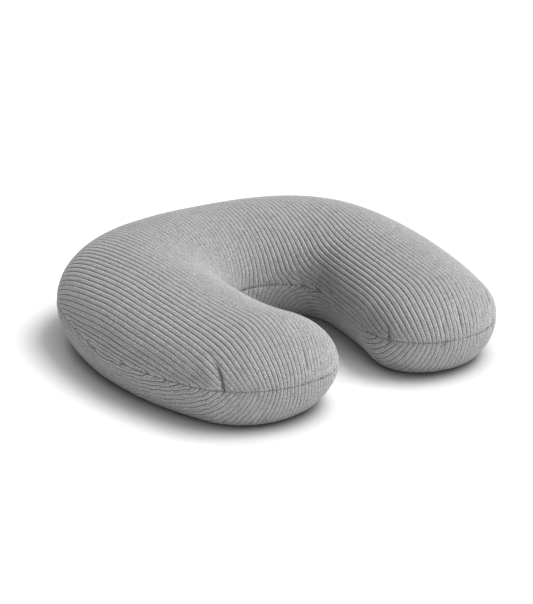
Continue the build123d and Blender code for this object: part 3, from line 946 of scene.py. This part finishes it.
# -------- materials
class Nodes:
    """Short way to write a material's nodes."""

    def __init__(self, name, **shader):
        self.material = bpy.data.materials.new(name)
        self.material.use_nodes = True
        self.tree = self.material.node_tree
        self.shader = self.tree.nodes["Principled BSDF"]
        self.fill(self.shader, **shader)

    def add(self, kind, *inputs, **settings):
        node = self.tree.nodes.new("ShaderNode" + kind)
        for key, value in settings.items():
            setattr(node, key, value)
        for index, value in enumerate(inputs):
            self.put(node.inputs[index], value)
        return node

    def put(self, socket, value):
        if isinstance(value, bpy.types.NodeSocket):
            self.tree.links.new(value, socket)
        else:
            socket.default_value = value

    def fill(self, node, **inputs):
        """Fill a node's inputs by name. Gives the node back."""
        for name, value in inputs.items():
            self.put(node.inputs[name.replace("_", " ")], value)
        return node

    def math(self, operation, *inputs):
        return self.add("Math", *inputs, operation=operation).outputs[0]

    def plus(self, first, second):
        return self.math("ADD", first, second)

    def times(self, first, second):
        return self.math("MULTIPLY", first, second)

    def position(self):
        return self.add("TexCoord").outputs["Object"]

    def noise(self, vector, scale, detail=2.0):
        node = self.add("TexNoise")
        return self.fill(node, Vector=vector, Scale=scale, Detail=detail).outputs["Fac"]

    def ramp(self, value, *stops):
        """Colour, or grey where a stop gives one number, from a value."""
        node = self.add("ValToRGB", value)
        elements = node.color_ramp.elements
        while len(elements) < len(stops):
            elements.new(0.5)
        for element, (place, colour) in zip(elements, stops):
            element.position = place
            element.color = (*np.broadcast_to(colour, 3), 1.0)
        return node.outputs[0]

    def multiply(self, first, second):
        node = self.add("Mix", data_type="RGBA", blend_type="MULTIPLY")
        return self.fill(node, Factor=1.0, A=first, B=second).outputs["Result"]

    def bump(self, height, distance, strength=1.0):
        node = self.add("Bump")
        self.fill(node, Strength=strength, Distance=distance, Height=height)
        self.fill(self.shader, Normal=node.outputs[0])

    def colour(self, value):
        self.fill(self.shader, Base_Color=value)


WALES_PER_RIB = 4
COURSE = 0.0018  # height of a stitch
KNIT_MIX = (  # dark, light and bright fibres: place in the mix, colour
    (0.38, (0.16, 0.16, 0.165)),
    (0.51, (0.487, 0.487, 0.492)),
    (0.62, (0.9, 0.9, 0.905)),
)


def knit_material():
    """Heather rib knit: V stitches, mixed fibres, painted shade in grooves, folds and
    seam, painted rib highlights.
    """
    n = Nodes("rib_knit", Roughness=0.92, Sheen_Weight=0.2, Sheen_Roughness=0.6)
    fabric = n.add("Attribute", attribute_name="fabric").outputs["Vector"]
    u, v, to_edge = n.add("SeparateXYZ", fabric).outputs
    place = n.math("ABSOLUTE", u)
    wale = n.math("FRACT", n.math("DIVIDE", place, RIB_PITCH / WALES_PER_RIB))
    from_middle = n.math("ABSOLUTE", n.math("SUBTRACT", wale, 0.5))
    uneven = n.times(n.noise(fabric, 240.0, 1.0), 1.2)
    slant = n.plus(n.math("DIVIDE", v, COURSE), n.times(from_middle, 1.2))
    yarn = n.math("PINGPONG", n.plus(slant, uneven), 0.5)
    stitch = n.times(yarn, n.math("SUBTRACT", 1.0, from_middle))
    fuzz = n.noise(fabric, 1500.0, 3.0)
    fibre = n.noise(fabric, 850.0)
    patches = n.noise(fabric, 60.0, 3.0)
    n.bump(n.plus(stitch, n.times(fuzz, 0.5)), 0.0007, 0.6)

    speckle = n.plus(n.times(fibre, 0.7), n.times(fuzz, 0.3))
    melange = n.ramp(speckle, *KNIT_MIX)
    phase = n.math("FRACT", n.math("DIVIDE", place, RIB_PITCH))
    groove = n.math("ABSOLUTE", n.math("SUBTRACT", n.times(phase, 2.0), 1.0))
    # Painted shade darkens each rib's groove, and a painted highlight lightens the rims
    # beside it.
    painted_rib_shading = n.ramp(groove, (0.4, 0.76), (0.72, 1.06), (0.87, 0.6), (1.0, 0.04))
    between = n.ramp(yarn, (0.02, 0.58), (0.32, 1.0))
    soft = n.ramp(patches, (0.35, 0.95), (0.65, 1.03))
    # Painted shade along the seam and the zip slot's edges, darkest on the lips.
    painted_seam_shade = n.ramp(n.times(to_edge, 500.0), (0.05, 0.7), (0.5, 1.0))
    # Painted shade in the creases, from the panels' fold depths.
    fold_shade = n.add("Attribute", attribute_name="fold_shade").outputs["Fac"]
    painted_fold_shade = n.ramp(fold_shade, (0.2, 1.0), (0.8, 0.42))
    shaded = n.multiply(n.multiply(melange, painted_rib_shading), n.multiply(painted_seam_shade, painted_fold_shade))
    n.colour(n.multiply(shaded, n.multiply(between, soft)))
    return n.material


def thread_material(name, colour):
    """Twisted sewing thread."""
    n = Nodes(name, Roughness=0.6, Sheen_Weight=0.2)
    position = n.position()
    x, y, z = n.add("SeparateXYZ", position).outputs
    twist = n.math("SINE", n.times(n.plus(n.plus(x, y), z), 9000.0))
    n.bump(twist, 0.0001, 0.6)
    dark = np.multiply(colour, 0.75)
    n.colour(n.ramp(n.noise(position, 900.0), (0.35, dark), (0.6, colour)))
    return n.material


def woven_material(name, colour, thread_width, roughness=0.85):
    """Plain weave cloth, from the object's own coordinates."""
    n = Nodes(name, Roughness=roughness, Sheen_Weight=0.15)
    position = n.position()
    x, y, z = n.add("SeparateXYZ", position).outputs
    turns = 2 * pi / thread_width
    along = n.math("SINE", n.times(n.plus(x, n.times(y, 0.5)), turns))
    across = n.math("SINE", n.times(z, turns))
    weave = n.times(along, across)
    n.bump(weave, thread_width / 3, 0.5)
    dark, light = np.multiply(colour, 0.8), np.multiply(colour, 1.15).clip(0, 1)
    mixed = n.plus(n.times(weave, 0.25), n.noise(position, 300.0))
    n.colour(n.ramp(mixed, (0.3, dark), (0.7, light)))
    return n.material


def metal_material():
    """Zinc zip metal, brushed and a little worn."""
    n = Nodes("zip_metal", Metallic=1.0)
    position = n.position()
    stretched = n.fill(n.add("Mapping", position), Scale=(1.0, 8.0, 8.0))
    scratches = n.noise(stretched.outputs[0], 500.0, 4.0)
    wear = n.noise(position, 160.0, 3.0)
    n.fill(n.shader, Roughness=n.plus(n.times(scratches, 0.25), 0.22))
    n.bump(scratches, 0.00006, 0.4)
    n.colour(n.ramp(wear, (0.35, (0.3, 0.305, 0.32)), (0.6, (0.46, 0.465, 0.48))))
    return n.material


def nylon_material():
    """Moulded nylon of the coil's teeth."""
    n = Nodes("zip_nylon", Roughness=0.38, Specular_IOR_Level=0.5)
    mottled = n.noise(n.position(), 700.0)
    n.bump(mottled, 0.00005, 0.4)
    n.colour(n.ramp(mottled, (0.3, (0.3, 0.305, 0.315)), (0.7, (0.4, 0.405, 0.415))))
    return n.material


def filling_material():
    """Loose polyester fibre."""
    n = Nodes("fibre_fill", Roughness=1.0, Sheen_Weight=0.3)
    position = n.position()
    tufts = n.noise(position, 55.0, 6.0)
    fibres = n.noise(position, 700.0, 4.0)
    n.bump(n.plus(tufts, n.times(fibres, 0.3)), 0.006, 0.7)
    n.colour(n.ramp(tufts, (0.3, (0.72, 0.72, 0.70)), (0.65, (0.88, 0.88, 0.86))))
    return n.material


def paint(piece, material):
    """Give the piece one material."""
    piece.data.materials.clear()
    piece.data.materials.append(material)


# -------- the pillow's pieces
grid = pillow_grid()
flat = flatten(grid)
grid = simulate(grid)

knit = knit_material()
top = cover_panel("cover_top", grid, flat, 1)
bottom = cover_panel("cover_bottom", grid, flat, -1)
for panel, node in ((top, "cover_top_panel"), (bottom, "cover_bottom_panel")):
    paint(panel, knit)
    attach(panel, "pillow")
    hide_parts(node)

stitches = seam_stitches(grid)
topstitch = zip_topstitch()
cover_thread = thread_material("cover_thread", (0.36, 0.365, 0.375))
for piece in (stitches, topstitch):
    paint(piece, cover_thread)
    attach(piece, "pillow")
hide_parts("cover_seam_thread")

nylon = nylon_material()
for name, side in (("zip_teeth_upper", 1), ("zip_teeth_lower", -1)):
    teeth = coil_teeth(name, side)
    paint(teeth, nylon)
    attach(teeth, "pillow")
    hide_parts(name.replace("teeth", "coil"))

tape = woven_material("zip_tape", (0.33, 0.335, 0.345), 0.0007)
metal = metal_material()
casing = woven_material("insert_cloth", (0.8, 0.8, 0.78), 0.0009)
for name, material in {
    "zip_tape_upper": tape,
    "zip_tape_lower": tape,
    "zip_slider": metal,
    "zip_pull_tab": metal,
    "zip_top_stops": metal,
    "zip_bottom_stop": metal,
    "care_label": woven_material("label_ribbon", (0.7, 0.7, 0.69), 0.0006, 0.5),
    "insert_top_panel": casing,
    "insert_bottom_panel": casing,
    "insert_seam_thread": thread_material("insert_thread", (0.8, 0.8, 0.78)),
    "filling": filling_material(),
}.items():
    paint(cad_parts[name], material)


# -------- stage, light, camera
FLOOR_SIDES = 64
FLOOR_RINGS = ((30.0, 0.0), (400.0, 11.0))  # radius, height
# Reach and colour stops of the floor's painted contact shadow.
PAINTED_SHADOW_REACH = 0.09
PAINTED_CONTACT_SHADOW = ((0.1, 0.05), (0.3, 0.28), (0.62, 0.82), (0.82, 0.92))
STUDIO_LIGHTS = (  # name, place, degrees across, power
    ("key_light", (0.45, -0.37, 0.82), 38, 2.6),
    ("right_light", (0.57, 0.0, 0.82), 40, 0.9),
    ("front_light", (0.0, -0.87, 0.5), 40, 1.05),
    ("back_light", (0.1, 0.86, 0.5), 40, 1.1),
    ("left_light", (-0.87, 0.0, 0.5), 40, 0.2),
)
WORLD_STRENGTH = 0.05


def floor():
    """Plain pale floor, whose far rim rises gently behind every view, with a painted
    contact shadow near the pillow.
    """
    count = FLOOR_SIDES
    places = [
        (radius * cos(2 * pi * k / count), radius * sin(2 * pi * k / count), height)
        for radius, height in FLOOR_RINGS
        for k in range(count)
    ]
    pairs = [(k, (k + 1) % count) for k in range(count)]
    rim = [(a, a + count, b + count, b) for a, b in pairs]
    plane = new_object("floor", places, [tuple(range(count)), *rim])
    n = Nodes("floor", Roughness=0.9)
    # Painted contact shadow: the floor's colour darkens by ambient occlusion near the
    # pillow.
    painted_shadow_occlusion = n.fill(n.add("AmbientOcclusion", samples=12), Distance=PAINTED_SHADOW_REACH)
    n.colour(n.ramp(painted_shadow_occlusion.outputs["AO"], *PAINTED_CONTACT_SHADOW))
    n.fill(n.shader, Emission_Color=(1, 1, 1, 1), Emission_Strength=0.02)
    paint(plane, n.material)


def soft_sun(name, place, width, power):
    """Distant soft light that shines from a place, width degrees across."""
    light = bpy.data.lights.new(name, "SUN")
    light.angle = radians(width)
    light.energy = power
    lamp = linked(name, light)
    lamp.rotation_euler = Vector(place).to_track_quat("Z", "Y").to_euler()


CAMERA_AZIMUTH = radians(-33.62)
CAMERA_ELEVATION = radians(22.85)
CAMERA_DISTANCE = 1.7285
CAMERA_TARGET = Vector((0, 0.0164, 0))
LENS = dict(
    sensor_fit="VERTICAL", sensor_height=36, lens=71.86, shift_x=-0.001, shift_y=0.0509
)


def camera():
    """Camera at the reference viewing angle."""
    lens = bpy.data.cameras.new("camera")
    for setting, value in LENS.items():
        setattr(lens, setting, value)
    view = linked("camera", lens)
    x, y = sin(CAMERA_AZIMUTH), -cos(CAMERA_AZIMUTH)
    level = cos(CAMERA_ELEVATION)
    back = Vector((x * level, y * level, sin(CAMERA_ELEVATION)))
    view.location = CAMERA_TARGET + back * CAMERA_DISTANCE
    view.rotation_euler = back.to_track_quat("Z", "Y").to_euler()
    bpy.context.scene.camera = view


def surroundings():
    """Plain white light from all round."""
    world = bpy.data.worlds.new("studio")
    bpy.context.scene.world = world
    world.use_nodes = True
    background = world.node_tree.nodes["Background"]
    background.inputs["Color"].default_value = (1, 1, 1, 1)
    background.inputs["Strength"].default_value = WORLD_STRENGTH


floor()
surroundings()
for light in STUDIO_LIGHTS:
    soft_sun(*light)
camera()
bpy.context.scene.view_settings.view_transform = "Standard"
